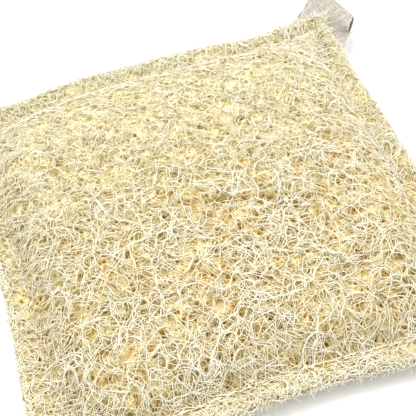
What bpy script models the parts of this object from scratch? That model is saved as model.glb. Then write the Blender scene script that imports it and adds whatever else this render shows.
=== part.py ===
"""A square natural loofah sponge pad with a folded tape loop caught in one corner.

Two flattened pieces of loofah lie face to face and are sewn together a little inside their edge.
The seam leaves a flat band round the pad, and the pad bulges inside it like a small pillow.
A short length of woven tape is folded in half and held between the two pieces at one corner,
where a short bar of close stitches crosses the seam.

Metres, +Z up. The sides of the pad run along X and Y and the tape is at the +X +Y corner.
The origin is the middle of the flat spot that the pad rests on.
"""

import math
import random

import bmesh
import bpy
from mathutils import Matrix, Vector
from mathutils.geometry import delaunay_2d_cdt

MM = 0.001

# The pad as a whole
PAD_HALF = 70.0 * MM
CORNER_RADIUS = 6.0 * MM
INNER_CORNER_RADIUS = 1.2 * MM
MID_HEIGHT = 8.0 * MM
LAYER_GAP = 0.3 * MM

# How far each hand-cut side stands out from the true square, in mm, at even places along it from
# its lower X or Y end
SIDE_CUTS = {
    "right": (0.0, 0.0, 0.0, -0.4, -0.4, -1.4, -1.5),
    "far": (-3.1, -3.3, -0.2, -0.2, -0.8, -3.2, -2.4),
    "left": (2.4, 2.9, 0.3, -1.5, 0.0, 0.0, 0.0),
    "near": (0.0, 0.0, -1.6, -2.2, -0.9, 1.7, 1.3),
}

# The sewn band: lines at a distance inwards from the edge, and their height off the middle plane
BAND_CREST_INSET = 2.6 * MM
CHANNEL_OUTER_INSET = 5.5 * MM
CHANNEL_INNER_INSET = 8.7 * MM
EDGE_RISE = 1.8 * MM
BAND_RISE = 3.2 * MM
SEAM_RISE = 1.3 * MM

# The pillow inside the seam
SLOPE_WIDTH = 16.0 * MM
SLOPE_POWER = 2.2
SQUARENESS = 7.0
FRONT_DOME = 10.6 * MM
BACK_DOME = 4.9 * MM
BACK_CROWN = 2.4 * MM
BACK_CROWN_RADIUS = 58.0 * MM

# The net of fibres on each face
FRONT_CELL = 8.0 * MM
BACK_CELL = 9.8 * MM
CELL_STRETCH = 1.12
CELL_JITTER = 0.36
FOOT_ROW_INSET = 13.2 * MM
FIRST_ROW_INSET = 19.0 * MM
RIDGE_HALF_WIDTH = 1.5 * MM
PIT_DEPTH = 1.9 * MM
BAND_RIDGE_HALF_WIDTH = 0.7 * MM
BAND_PIT_DEPTH = 0.8 * MM
THINNEST_WALL = 0.6 * MM
REST_PATCH_RADIUS = 9.0 * MM

# Points round each ring: runs along the sides and steps round the corners
SIDE_STEPS = 20
CORNER_STEPS = 4
RING_STEPS = SIDE_STEPS + CORNER_STEPS

# The folded tape, in a frame turned to the pad's diagonal: u runs outwards and w runs across
TAPE_WIDTH = 19.0 * MM
TAPE_THICKNESS = 0.8 * MM
TAPE_SHIFT = -2.0 * MM
TAPE_CROSSING = 1.5 * MM
TAPE_INNER_END = 72.0 * MM
TAPE_OPENS_AT = 91.0 * MM
TAPE_OPEN_AT = 101.2 * MM
TAPE_LEG_OFFSET = 0.55 * MM
TAPE_LOOP_RADIUS = 4.8 * MM
TAPE_SLANT = 0.55
TAPE_SLANT_RUN = 8.0 * MM
TAPE_CLEARANCE = 0.6 * MM
POCKET_MARGIN = 5.0 * MM
POCKET_FALL = 5.0 * MM
POCKET_GRID = 3.1 * MM
INNER_GRID = 17.0 * MM

# The two sewing threads, which start and end at the bar of close stitches
THREAD_RADIUS = 0.4 * MM
THREAD_SIDES = 3
THREAD_INSET = 7.1 * MM
THREAD_CLEARANCE = 0.3 * MM
STITCHES_PER_SIDE = 27
STITCH_ARCH = 0.4 * MM
TACK_START = 55.9 * MM
TACK_END = 63.9 * MM
TACK_HALF_WIDTH = 1.0 * MM
TACK_TURNS = 8
TACK_LIFT = 0.4 * MM

# Colour and roughness of each finish
FINISHES = {
    "loofah_fibre": ((0.84, 0.74, 0.50, 1.0), 0.75),
    "twill_tape": ((0.66, 0.62, 0.57, 1.0), 0.9),
    "cotton_thread": ((0.93, 0.90, 0.86, 1.0), 0.7),
}


def clear_scene():
    for obj in list(bpy.data.objects):
        bpy.data.objects.remove(obj)


def finish_of(name):
    """The plain finish of one kind of piece, made once and shared."""
    material = bpy.data.materials.get(name)
    if material is None:
        colour, roughness = FINISHES[name]
        material = bpy.data.materials.new(name)
        material.use_nodes = True
        shader = material.node_tree.nodes["Principled BSDF"]
        shader.inputs["Base Color"].default_value = colour
        shader.inputs["Roughness"].default_value = roughness
        shader.inputs["Metallic"].default_value = 0.0
    return material


def add_object(name, mesh, finish):
    bmesh.ops.recalc_face_normals(mesh, faces=mesh.faces)
    data = bpy.data.meshes.new(name)
    mesh.to_mesh(data)
    mesh.free()
    obj = bpy.data.objects.new(name, data)
    bpy.context.scene.collection.objects.link(obj)
    obj.data.materials.append(finish_of(finish))
    return obj


def smooth_step(value):
    t = min(max(value, 0.0), 1.0)
    return t * t * (3.0 - 2.0 * t)


def hump(value, middle, width):
    return math.exp(-(((value - middle) / width) ** 2))


def to_diagonal(x, y):
    """(u, w) of a point: u outwards along the diagonal of the tape, w across it."""
    return (x + y) / math.sqrt(2.0), (y - x) / math.sqrt(2.0)


def from_diagonal(u, w):
    return (u - w) / math.sqrt(2.0), (u + w) / math.sqrt(2.0)


def slant(u, w):
    """How far the slanting fold carries that point of the tape outwards."""
    return TAPE_SLANT * (w - TAPE_SHIFT) * smooth_step((u - TAPE_OPENS_AT) / TAPE_SLANT_RUN)


def leg_offset(u):
    """How far each leg of the folded tape is from the middle plane, before its round fold."""
    opening = smooth_step((u - TAPE_OPENS_AT) / (TAPE_OPEN_AT - TAPE_OPENS_AT))
    return TAPE_LEG_OFFSET + (TAPE_LOOP_RADIUS - TAPE_LEG_OFFSET) * opening


def pocket(x, y):
    """How far each layer lifts off the middle plane to make room for the tape in its corner."""
    u, w = to_diagonal(x, y)
    aside = abs(w - TAPE_SHIFT) - TAPE_WIDTH / 2 - POCKET_MARGIN
    before = TAPE_INNER_END - POCKET_MARGIN - u
    share = (1.0 - smooth_step(aside / POCKET_FALL)) * (1.0 - smooth_step(before / POCKET_FALL))
    height = leg_offset(u - slant(u, w))
    return share * (height + TAPE_THICKNESS / 2 + TAPE_CLEARANCE - LAYER_GAP / 2)


def near_pocket(x, y):
    u, w = to_diagonal(x, y)
    aside = abs(w - TAPE_SHIFT) - TAPE_WIDTH / 2
    before = TAPE_INNER_END - u
    return max(aside, before) < POCKET_MARGIN + POCKET_FALL


def side_cut(side, along):
    """How far that side stands out from the true square, on a smooth curve through its values."""
    cuts = SIDE_CUTS[side]
    last = len(cuts) - 1
    place = min(max((along / PAD_HALF + 1.0) / 2.0, 0.0), 1.0) * last
    i = min(int(place), last - 1)
    t = place - i
    before = cuts[i - 1] if i > 0 else 2.0 * cuts[0] - cuts[1]
    after = cuts[i + 2] if i + 2 <= last else 2.0 * cuts[last] - cuts[last - 1]
    here, there = cuts[i], cuts[i + 1]
    bend = (2.0 * before - 5.0 * here + 4.0 * there - after) * t * t
    twist = (3.0 * here - before - 3.0 * there + after) * t**3
    return 0.5 * MM * (2.0 * here + (there - before) * t + bend + twist)


def hand_cut(x, y):
    """The same point on the real pad, whose sides are cut by hand and not quite straight."""
    share_x = (x / PAD_HALF) ** 2
    share_y = (y / PAD_HALF) ** 2
    shift_x = side_cut("right", y) if x > 0.0 else -side_cut("left", y)
    shift_y = side_cut("far", x) if y > 0.0 else -side_cut("near", x)
    return x + share_x * shift_x, y + share_y * shift_y


def slope_share(x, y):
    """0 at the seam and 1 on the pillow's top, on level lines with rounded corners."""
    reach = (abs(x) ** SQUARENESS + abs(y) ** SQUARENESS) ** (1.0 / SQUARENESS)
    t = (PAD_HALF - reach - CHANNEL_INNER_INSET) / SLOPE_WIDTH
    return 1.0 - (1.0 - min(max(t, 0.0), 1.0)) ** SLOPE_POWER


def folded_step(x, y, line_y, line_slope, middle_x, width_x, height, reach):
    """A crease: the far side stands up along a slanting line and sinks back behind it."""
    ahead = y - (line_y + line_slope * (x - middle_x))
    lip = 0.5 + 0.5 * math.tanh(ahead / (1.6 * MM))
    return height * lip * math.exp(-((max(ahead, 0.0) / reach) ** 2)) * hump(x, middle_x, width_x)


def front_lobes(x, y):
    """The low ridges and creases that a loofah keeps when it is pressed flat."""
    far_ridge = 1.3 * MM * hump(y, 36 * MM, 8 * MM) - 1.2 * MM * hump(y, 49 * MM, 5 * MM)
    long_crease = folded_step(x, y, -7 * MM, -0.27, 11 * MM, 22 * MM, 1.7 * MM, 15 * MM)
    short_crease = folded_step(x, y, -36 * MM, -0.20, 36 * MM, 16 * MM, 1.1 * MM, 11 * MM)
    swell = 0.5 * MM * math.sin(x / (12 * MM) + 0.8) * math.sin(y / (14 * MM) - 0.4)
    return far_ridge + long_crease + short_crease + swell


def front_rise(x, y):
    return SEAM_RISE + slope_share(x, y) * (FRONT_DOME + front_lobes(x, y))


def back_rise(x, y):
    """The under side bulges less, and its lowest part is pressed flat where the pad rests."""
    crown = BACK_CROWN * (1.0 - (math.hypot(x, y) / BACK_CROWN_RADIUS) ** 2)
    return min(SEAM_RISE + slope_share(x, y) * (BACK_DOME + crown), MID_HEIGHT)


def ring_points(inset):
    """Points anticlockwise round the pad at one distance from its edge, corner by corner."""
    half = PAD_HALF - inset
    radius = max(CORNER_RADIUS - inset, INNER_CORNER_RADIUS)
    run = 2.0 * (half - radius)
    arc = [
        Vector((half - radius, half - radius))
        + radius * Vector((math.cos(angle), math.sin(angle)))
        for angle in (math.pi / 2 * step / CORNER_STEPS for step in range(CORNER_STEPS))
    ]
    side = [Vector((half - radius - run * step / SIDE_STEPS, half)) for step in range(SIDE_STEPS)]
    points = []
    for corner in range(4):
        turn = Matrix.Rotation(corner * math.pi / 2, 2)
        points += [turn @ point for point in arc + side]
    return points


def lattice(half, spacing, stretch, jitter, seed):
    """Staggered points over a square, each moved a little at random."""
    draw = random.Random(seed)
    step_y = spacing * stretch * math.sqrt(3.0) / 2.0
    rows = int(half / step_y)
    columns = int(half / spacing) + 1
    points = []
    for row in range(-rows, rows + 1):
        shift = 0.5 * spacing if row % 2 else 0.0
        for column in range(-columns, columns + 1):
            x = column * spacing + shift + draw.uniform(-jitter, jitter) * spacing
            y = row * step_y + draw.uniform(-jitter, jitter) * step_y
            points.append((x, y))
    return points


def foot_row(cell, seed):
    """One row of loose points along the foot of the slope, between the seam and the lattice."""
    draw = random.Random(seed)
    half = PAD_HALF - FOOT_ROW_INSET
    count = round(2.0 * half / cell)
    points = []
    for corner in range(4):
        turn = Matrix.Rotation(corner * math.pi / 2, 2)
        for step in range(count):
            along = half - 2.0 * half * (step + draw.uniform(-0.2, 0.2)) / count
            inwards = draw.uniform(-0.7, 0.7) * MM if step else 0.0
            points.append(tuple(turn @ Vector((along, half + inwards))))
    return points


def triangles_over(outline, inner):
    """Triangles over a closed outline and loose points: their corners, faces and sources."""
    flat = [Vector(p) for p in list(outline) + list(inner)]
    loop = list(range(len(outline)))
    points, _, faces, sources, _, _ = delaunay_2d_cdt(flat, [], [loop], 1, 1e-7)
    return [tuple(p) for p in points], faces, sources


class Layer:
    """One piece of loofah: a net of fibres on its outer face and a plain inner face."""

    def __init__(self, name, side, rise):
        self.name = name
        self.side = side
        self.rise = rise
        self.mesh = bmesh.new()

    def point(self, x, y, rise):
        """A vertex at that height off the middle plane, on this layer's side of it."""
        height = rise + pocket(x, y)
        if self.side < 0:
            height = min(height, MID_HEIGHT)
        return self.mesh.verts.new((*hand_cut(x, y), MID_HEIGHT + self.side * height))

    def strip(self, first, second):
        for i in range(len(first)):
            j = (i + 1) % len(first)
            self.mesh.faces.new([first[i], first[j], second[j], second[i]])

    def pit(self, corners, half_width, depth):
        """Sinks the middle of a mesh of the net, so that its sides stay up as fibres."""
        centre = sum((v.co for v in corners), Vector()) / len(corners)
        normal = Vector()
        for i, corner in enumerate(corners):
            after = corners[(i + 1) % len(corners)]
            normal += (corner.co - centre).cross(after.co - centre)
        normal.normalize()
        normal *= self.side if normal.z > 0 else -self.side
        sunk = []
        for corner in corners:
            inwards = centre - corner.co
            shrink = min(half_width * 1.15, 0.5 * inwards.length)
            place = corner.co + inwards.normalized() * shrink - normal * depth
            floor = LAYER_GAP / 2 + pocket(place.x, place.y) + THINNEST_WALL
            place.z = MID_HEIGHT + self.side * max(self.side * (place.z - MID_HEIGHT), floor)
            sunk.append(self.mesh.verts.new(place))
        self.strip(corners, sunk)
        self.mesh.faces.new(sunk)

    def band(self, seed):
        """The sewn band: two rows of small meshes, then the smooth channel of the seam."""
        draw = random.Random(seed)
        edge = [self.point(x, y, EDGE_RISE) for x, y in ring_points(0.0)]
        crest_line = ring_points(BAND_CREST_INSET)
        crest = []
        for i, place in enumerate(crest_line):
            if i % RING_STEPS > CORNER_STEPS:
                place = place.lerp(crest_line[(i + 1) % len(crest_line)], draw.uniform(-0.35, 0.35))
            crest.append(self.point(place.x, place.y, BAND_RISE + draw.uniform(-0.4, 0.4) * MM))
        outer = [self.point(x, y, SEAM_RISE) for x, y in ring_points(CHANNEL_OUTER_INSET)]
        inner = [self.point(x, y, SEAM_RISE) for x, y in ring_points(CHANNEL_INNER_INSET)]
        for first, second in ((edge, crest), (crest, outer)):
            for i in range(len(first)):
                j = (i + 1) % len(first)
                corners = [first[i], first[j], second[j], second[i]]
                self.pit(corners, BAND_RIDGE_HALF_WIDTH, BAND_PIT_DEPTH)
        self.strip(outer, inner)
        return edge, inner

    def pillow(self, boundary, cell, seed, keep_flat):
        """The net over the pillow: each mesh lies round one loose point of a lattice."""
        outline = ring_points(CHANNEL_INNER_INSET)
        loose = foot_row(cell, seed) + [
            (x, y)
            for x, y in lattice(PAD_HALF, cell, CELL_STRETCH, CELL_JITTER, seed)
            if max(abs(x), abs(y)) < PAD_HALF - FIRST_ROW_INSET
        ]
        points, triangles, sources = triangles_over(outline, loose)
        rim = {}
        for i, used in enumerate(sources):
            for source in used:
                if source < len(outline):
                    rim[i] = boundary[source]
        around = {i: [] for i in range(len(points))}
        for triangle in triangles:
            x = sum(points[i][0] for i in triangle) / 3.0
            y = sum(points[i][1] for i in triangle) / 3.0
            knot = self.point(x, y, self.rise(x, y))
            for i in triangle:
                around[i].append(knot)
            self.rim_face(boundary, [rim[i] for i in triangle if i in rim], knot)
        for i, ring in around.items():
            if i in rim:
                self.rim_cell(rim[i], ring)
                continue
            x, y = points[i]
            centre = Vector(hand_cut(x, y))
            ring.sort(key=lambda v, c=centre: math.atan2(v.co.y - c.y, v.co.x - c.x))
            if keep_flat and math.hypot(x, y) < REST_PATCH_RADIUS:
                self.mesh.faces.new(ring)
            else:
                self.pit(ring, RIDGE_HALF_WIDTH, PIT_DEPTH)

    def rim_face(self, boundary, ends, knot):
        """The small face between one edge of the seam's channel and the knot inside it."""
        for first in ends:
            following = boundary[(boundary.index(first) + 1) % len(boundary)]
            if following in ends:
                self.mesh.faces.new([first, following, knot])

    def rim_cell(self, corner, ring):
        """The plain cell at a point of the outline, from its corner out to the knots beside it."""
        inwards = math.atan2(-corner.co.y, -corner.co.x)

        def from_inside(vert):
            angle = math.atan2(vert.co.y - corner.co.y, vert.co.x - corner.co.x) - inwards
            return (angle + math.pi) % (2.0 * math.pi)

        if len(ring) > 1:
            self.mesh.faces.new([corner] + sorted(ring, key=from_inside))

    def inner_face(self, edge):
        """The plain face towards the other layer, with room for the tape."""
        outline = ring_points(0.0)
        coarse = [
            p
            for p in lattice(PAD_HALF, INNER_GRID, 1.0, 0.0, 1)
            if rounded_inset(*p) > 7 * MM and not near_pocket(*p)
        ]
        fine = [
            p
            for p in lattice(PAD_HALF, POCKET_GRID, 1.0, 0.0, 1)
            if rounded_inset(*p) > 2 * MM and near_pocket(*p)
        ]
        points, triangles, sources = triangles_over(outline, coarse + fine)
        verts = [self.point(x, y, LAYER_GAP / 2) for x, y in points]
        for triangle in triangles:
            self.mesh.faces.new([verts[i] for i in triangle])
        around = [None] * len(outline)
        for i, used in enumerate(sources):
            for source in used:
                if source < len(outline):
                    around[source] = verts[i]
        self.strip(edge, around)


def rounded_inset(x, y):
    """Distance inwards from the pad's rounded outline."""
    flat = PAD_HALF - CORNER_RADIUS
    over_x = abs(x) - flat
    over_y = abs(y) - flat
    outside = math.hypot(max(over_x, 0.0), max(over_y, 0.0))
    return CORNER_RADIUS - outside - min(max(over_x, over_y), 0.0)


def loofah_layer(name, side, rise, cell, seed, keep_flat):
    layer = Layer(name, side, rise)
    edge, boundary = layer.band(seed)
    layer.pillow(boundary, cell, seed, keep_flat)
    layer.inner_face(edge)
    return add_object(name, layer.mesh, "loofah_fibre")


def tape_path():
    """The middle line of the folded tape, as (u, height off the middle plane)."""
    legs_end = [TAPE_INNER_END, 78 * MM, 84 * MM, 88 * MM]
    steps = 9
    run = TAPE_OPEN_AT - TAPE_OPENS_AT
    upper = [(u, leg_offset(u)) for u in legs_end]
    for step in range(steps + 1):
        u = TAPE_OPENS_AT + run * step / steps
        upper.append((u, leg_offset(u)))
    turns = 10
    fold = []
    for step in range(1, turns):
        angle = math.pi / 2 - math.pi * step / turns
        outwards = TAPE_OPEN_AT + TAPE_LOOP_RADIUS * math.cos(angle)
        fold.append((outwards, TAPE_LOOP_RADIUS * math.sin(angle)))
    return upper + fold + [(u, -height) for u, height in reversed(upper)]


def both_sides(path, thickness):
    """The two faces of a strip of that thickness round a middle line."""
    left, right = [], []
    for i, here in enumerate(path):
        before = path[max(i - 1, 0)]
        after = path[min(i + 1, len(path) - 1)]
        along = Vector((after[0] - before[0], after[1] - before[1])).normalized()
        across = Vector((-along.y, along.x)) * thickness / 2
        left.append(Vector(here) + across)
        right.append(Vector(here) - across)
    return left, right


def hanging_loop():
    """The folded tape: flat legs between the layers and an open slanting fold outside them."""
    mesh = bmesh.new()
    path = tape_path()
    left, right = both_sides(path, TAPE_THICKNESS)
    edges = []
    for across in (-TAPE_WIDTH / 2, TAPE_WIDTH / 2):
        for line in (left, right):
            row = []
            for i, (u, height) in enumerate(line):
                crossing = TAPE_CROSSING * (2.0 * i / (len(path) - 1) - 1.0)
                w = TAPE_SHIFT + across + crossing
                x, y = from_diagonal(u + slant(u, w), w)
                row.append(mesh.verts.new((x, y, MID_HEIGHT + height)))
            edges.append(row)
    ring = [edges[0], edges[1], edges[3], edges[2]]
    for k in range(4):
        first, second = ring[k], ring[(k + 1) % 4]
        for i in range(len(path) - 1):
            mesh.faces.new([first[i], first[i + 1], second[i + 1], second[i]])
    for end in (0, -1):
        mesh.faces.new([row[end] for row in ring])
    return add_object("hanging_loop", mesh, "twill_tape")


def channel_place(inset, index):
    """A point of the seam's channel at a step round the pad, and its height off the middle."""
    share = (inset - CHANNEL_OUTER_INSET) / (CHANNEL_INNER_INSET - CHANNEL_OUTER_INSET)
    outer = ring_points(CHANNEL_OUTER_INSET)
    inner = ring_points(CHANNEL_INNER_INSET)

    def at_step(step):
        ends = []
        for x, y in (outer[step % len(outer)], inner[step % len(inner)]):
            ends.append(Vector((*hand_cut(x, y), SEAM_RISE + pocket(x, y))))
        return ends[0].lerp(ends[1], share)

    whole = math.floor(index)
    return at_step(whole).lerp(at_step(whole + 1), index - whole)


def seam_steps():
    """Where the needle goes in and halfway between, as steps round the pad."""
    half_steps = 2 * STITCHES_PER_SIDE
    steps = []
    for corner in range(4):
        middle_of_corner = corner * RING_STEPS + CORNER_STEPS / 2
        steps.append((middle_of_corner, False))
        for i in range(1, half_steps):
            along = corner * RING_STEPS + CORNER_STEPS + SIDE_STEPS * i / half_steps
            steps.append((along, i % 2 == 1))
    return steps


def seam_thread(name, side):
    """One sewing thread: a low arch for each stitch, from one end of the tack round to it."""
    path = []
    tack_start = hand_cut(TACK_START, PAD_HALF - THREAD_INSET)[0]
    clear_of_tack = tack_start - THREAD_CLEARANCE - THREAD_RADIUS
    for index, on_top in seam_steps():
        place = channel_place(THREAD_INSET, index)
        rise = place.z + THREAD_CLEARANCE + THREAD_RADIUS + (STITCH_ARCH if on_top else 0.0)
        if min(place.x, place.y) < clear_of_tack:
            path.append(Vector((place.x, place.y, MID_HEIGHT + side * rise)))
    return tube(name, path)


def loop_tack(name, side):
    """The bar of close stitches that holds the tape, zigzag along the channel's corner."""
    line = PAD_HALF - THREAD_INSET
    path = []
    for turn in range(2 * TACK_TURNS + 1):
        x = TACK_START + (TACK_END - TACK_START) * turn / (2 * TACK_TURNS)
        y = line + (TACK_HALF_WIDTH if turn % 2 else -TACK_HALF_WIDTH)
        rise = SEAM_RISE + pocket(x, y) + THREAD_CLEARANCE + TACK_LIFT + THREAD_RADIUS
        path.append(Vector((*hand_cut(x, y), MID_HEIGHT + side * rise)))
    return tube(name, path)


def tube(name, path):
    """A thread along a line of points, with flat ends."""
    mesh = bmesh.new()
    rings = []
    for i, place in enumerate(path):
        along = (path[min(i + 1, len(path) - 1)] - path[max(i - 1, 0)]).normalized()
        across = along.cross(Vector((0.0, 0.0, 1.0))).normalized()
        up = across.cross(along)
        ring = []
        for k in range(THREAD_SIDES):
            angle = 2.0 * math.pi * (k + 0.25) / THREAD_SIDES
            spoke = math.cos(angle) * across + math.sin(angle) * up
            ring.append(mesh.verts.new(place + THREAD_RADIUS * spoke))
        rings.append(ring)
    for first, second in zip(rings, rings[1:]):
        for k in range(THREAD_SIDES):
            j = (k + 1) % THREAD_SIDES
            mesh.faces.new([first[k], first[j], second[j], second[k]])
    mesh.faces.new(rings[0])
    mesh.faces.new(rings[-1])
    return add_object(name, mesh, "cotton_thread")


def main():
    clear_scene()
    loofah_layer("loofah_front", 1, front_rise, FRONT_CELL, 11, False)
    loofah_layer("loofah_back", -1, back_rise, BACK_CELL, 23, True)
    hanging_loop()
    for name, side in (("front", 1), ("back", -1)):
        seam_thread("seam_thread_" + name, side)
        loop_tack("loop_tack_" + name, side)


main()
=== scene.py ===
"""The looks of a natural loofah pad: its net of fibres, its seam and its folded tape loop."""

import math

import bmesh
import bpy
import numpy as np
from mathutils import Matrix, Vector
from mathutils.geometry import delaunay_2d_cdt

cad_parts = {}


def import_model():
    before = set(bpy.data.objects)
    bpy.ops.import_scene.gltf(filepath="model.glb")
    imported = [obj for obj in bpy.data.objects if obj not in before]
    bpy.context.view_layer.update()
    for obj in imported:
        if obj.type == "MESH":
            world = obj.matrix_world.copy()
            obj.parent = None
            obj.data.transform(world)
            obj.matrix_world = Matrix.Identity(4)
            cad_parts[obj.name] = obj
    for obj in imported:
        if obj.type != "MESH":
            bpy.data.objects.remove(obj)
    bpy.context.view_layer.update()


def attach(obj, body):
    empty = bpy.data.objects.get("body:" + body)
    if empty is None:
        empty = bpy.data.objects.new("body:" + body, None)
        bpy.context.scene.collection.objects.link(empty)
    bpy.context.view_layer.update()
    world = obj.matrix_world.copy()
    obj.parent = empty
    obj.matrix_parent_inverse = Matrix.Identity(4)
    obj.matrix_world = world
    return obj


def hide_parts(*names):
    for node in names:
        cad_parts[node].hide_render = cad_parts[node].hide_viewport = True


MM = 0.001

# The pad, as in the frame
PAD_HALF = 70.0 * MM
CORNER_RADIUS = 6.0 * MM
MID_HEIGHT = 8.0 * MM
SEAM_INSET = 7.1 * MM
SEAM_RISE = 1.3 * MM
BAND_RISE = 3.0 * MM
RIM_RISE = 0.6 * MM
RIM_RADIUS = 2.4 * MM
SLOPE_START = 8.2 * MM
SLOPE_WIDTH = 16.5 * MM
SLOPE_POWER = 2.2
SQUARENESS = 7.0
FRONT_DOME = 10.6 * MM
BACK_DOME = 4.9 * MM
BACK_CROWN = 2.4 * MM
BACK_CROWN_RADIUS = 58.0 * MM

# How far each hand-cut side stands out from the true square, in mm, at even places along it
SIDE_CUTS = {
    "right": (0.0, 0.0, 0.0, -0.4, -0.4, -1.4, -1.5),
    "far": (-3.1, -3.3, -0.2, -0.2, -0.8, -3.2, -2.4),
    "left": (2.4, 2.9, 0.3, -1.5, 0.0, 0.0, 0.0),
    "near": (0.0, 0.0, -1.6, -2.2, -0.9, 1.7, 1.3),
}

# The folded tape: u runs outwards along the pad's diagonal and w runs across it
TAPE_WIDTH = 19.0 * MM
TAPE_THICKNESS = 0.8 * MM
TAPE_SHIFT = -2.0 * MM
TAPE_CROSSING = 1.5 * MM
TAPE_INNER_END = 72.0 * MM
TAPE_OPENS_AT = 91.0 * MM
TAPE_OPEN_AT = 101.2 * MM
TAPE_LEG_OFFSET = 0.55 * MM
TAPE_LOOP_RADIUS = 4.8 * MM
TAPE_SLANT = 0.55
TAPE_SLANT_RUN = 8.0 * MM

# The tape's twill, its ribs drawn a little wider apart than real ones so that they show
TAPE_COLUMNS = 91
TAPE_ROW = 1.0 * MM
RIB_SPACING = 0.86 * MM
RIB_LEAN = 0.25
RIB_HEIGHT = 0.13 * MM
WEFT_SPACING = 0.9 * MM
YARN_GRAIN = 1.1 * MM
FRAYED_ENDS = 14

# The sewing: stitches of this length, and the bar of close stitches over the tape
THREAD_RADIUS = 0.25 * MM
STITCH = 4.63 * MM
STITCH_DIP = 0.75 * MM
HIDDEN_BY_FIBRES = 0.5 * MM
SEAM_CORNER = 2.0 * MM
TACK_THREAD_RADIUS = 0.24 * MM
TACK_START = 55.9 * MM
TACK_END = 63.9 * MM
TACK_HALF_WIDTH = 1.3 * MM
TACK_PASSES = 17

# The long crease in the upper face: a slanting line, given by its middle and its slope
CREASE_X = 11.0 * MM
CREASE_Y = -4.5 * MM
CREASE_SLOPE = -0.27

# The near half's long, open curves pass into the far half's short, close ones over this stretch of y
CHANGE_START = -14.0 * MM
CHANGE_LENGTH = 52.0 * MM

# How far below a face's top fibres the colour reaches its darkest: the deeper fibres' own tan together with
# painted shade
DEEPEST = 2.0 * MM

# Fibres on the faces: how the bundles run, with the near half's value before the far half's
BUNDLES = {
    "pace": (1.35 * MM, 1.0 * MM),
    "steps": (6, 10),
    "curl": (0.24, 0.45),
    "straying": 1.5,
    "siblings": (0.95, 0.3),
}
CURLS = {
    "pace": (1.0 * MM, 0.8 * MM),
    "steps": (5, 6),
    "curl": (0.4, 0.5),
    "straying": 3.0,
    "siblings": (1.0,),
}

# The layers of fibres, from the top one down, and then the loose curls that stand on top of them:
# name, seed, bundles, share of the net's knots where a long fibre starts, depth, unevenness, fibre
# radius and the share that is left out over a hole
FIBRE_LAYERS = {
    "front": (
        ("top", 5, 2650, 0.12, 0.0 * MM, 0.14 * MM, 0.148 * MM, 0.85),
        ("upper", 6, 2800, 0.12, 0.40 * MM, 0.16 * MM, 0.148 * MM, 0.6),
        ("middle", 7, 4100, 0.0, 0.85 * MM, 0.2 * MM, 0.148 * MM, 0.3),
        ("curls", 12, 5200, 0.0, -0.12 * MM, 0.22 * MM, 0.125 * MM, 0.9),
    ),
    "back": (("top", 8, 2450, 0.08, 0.1 * MM, 0.25 * MM, 0.175 * MM, 0.7),),
}
NET_MESH = (3.6 * MM, 2.5 * MM)
FIBRE_WEAVING = 0.22 * MM
END_TUCK = 0.6 * MM
SAG_INTO_HOLE = 0.8 * MM

# Fibres over the cut rim, and the short ends that stand out of it
RIM_FIBRES = 1500
RIM_FIBRE_POINTS = 8
RIM_FIBRE_PACE = 1.1 * MM
RIM_FIBRE_RADIUS = 0.16 * MM
FUZZ_ENDS = 4700
FUZZ_RADIUS = 0.13 * MM

# The matted depth under the fibres: mesh sizes of its pattern, and how far it lies below them
FINE_MESH = 1.05 * MM
MIDDLE_MESH = 1.55 * MM
COARSE_MESH = 2.4 * MM
FRONT_MAT_DEPTH = (1.9 * MM, 1.5 * MM)
BACK_MAT_DEPTH = (1.5 * MM, 1.5 * MM)
FRONT_MAT_DIVISIONS = 190
BACK_MAT_DIVISIONS = 120

# The photograph's camera, and the lights of a bright white room
CAMERA_AZIMUTH = -20.781
CAMERA_ELEVATION = 53.241
CAMERA_DISTANCE = 377.5 * MM
CAMERA_TARGET = (0.854 * MM, 3.866 * MM, 7.0 * MM)
SENSOR = 36.0
FOCAL_PIXELS = 1184.7
PHOTO_PIXELS = 416
ROOM_BRIGHTNESS = 0.74


def step(t):
    t = np.clip(t, 0.0, 1.0)
    return t * t * (3.0 - 2.0 * t)


def hump(value, middle, width):
    return np.exp(-(((value - middle) / width) ** 2))


def between(near, far, y):
    """A value that changes from the pad's near half to its far half."""
    return near + (far - near) * step((y - CHANGE_START) / CHANGE_LENGTH)


def side_cut(side, along):
    """How far that side stands out from the true square, on a smooth curve through its values."""
    cuts = np.array(SIDE_CUTS[side])
    last = len(cuts) - 1
    more = np.concatenate([[2 * cuts[0] - cuts[1]], cuts, [2 * cuts[-1] - cuts[-2]]])
    place = np.clip((along / PAD_HALF + 1.0) / 2.0, 0.0, 1.0) * last
    i = np.minimum(place.astype(int), last - 1)
    t = place - i
    before, here, there, after = more[i], more[i + 1], more[i + 2], more[i + 3]
    bend = (2.0 * before - 5.0 * here + 4.0 * there - after) * t * t
    twist = (3.0 * here - before - 3.0 * there + after) * t**3
    return 0.5 * MM * (2.0 * here + (there - before) * t + bend + twist)


def hand_cut(x, y):
    """The same point on the real pad, whose sides are cut by hand and not quite straight."""
    shift_x = np.where(x > 0.0, side_cut("right", y), -side_cut("left", y))
    shift_y = np.where(y > 0.0, side_cut("far", x), -side_cut("near", x))
    return x + (x / PAD_HALF) ** 2 * shift_x, y + (y / PAD_HALF) ** 2 * shift_y


def inset_of(x, y):
    """Distance inwards from the pad's rounded outline."""
    flat = PAD_HALF - CORNER_RADIUS
    over_x = np.abs(x) - flat
    over_y = np.abs(y) - flat
    outside = np.hypot(np.maximum(over_x, 0.0), np.maximum(over_y, 0.0))
    return CORNER_RADIUS - outside - np.minimum(np.maximum(over_x, over_y), 0.0)


def tape_slant(u, w):
    """How much farther out one edge of the tape reaches than its middle, as the fold lies askew."""
    return TAPE_SLANT * (w - TAPE_SHIFT) * step((u - TAPE_OPENS_AT) / TAPE_SLANT_RUN)


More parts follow.
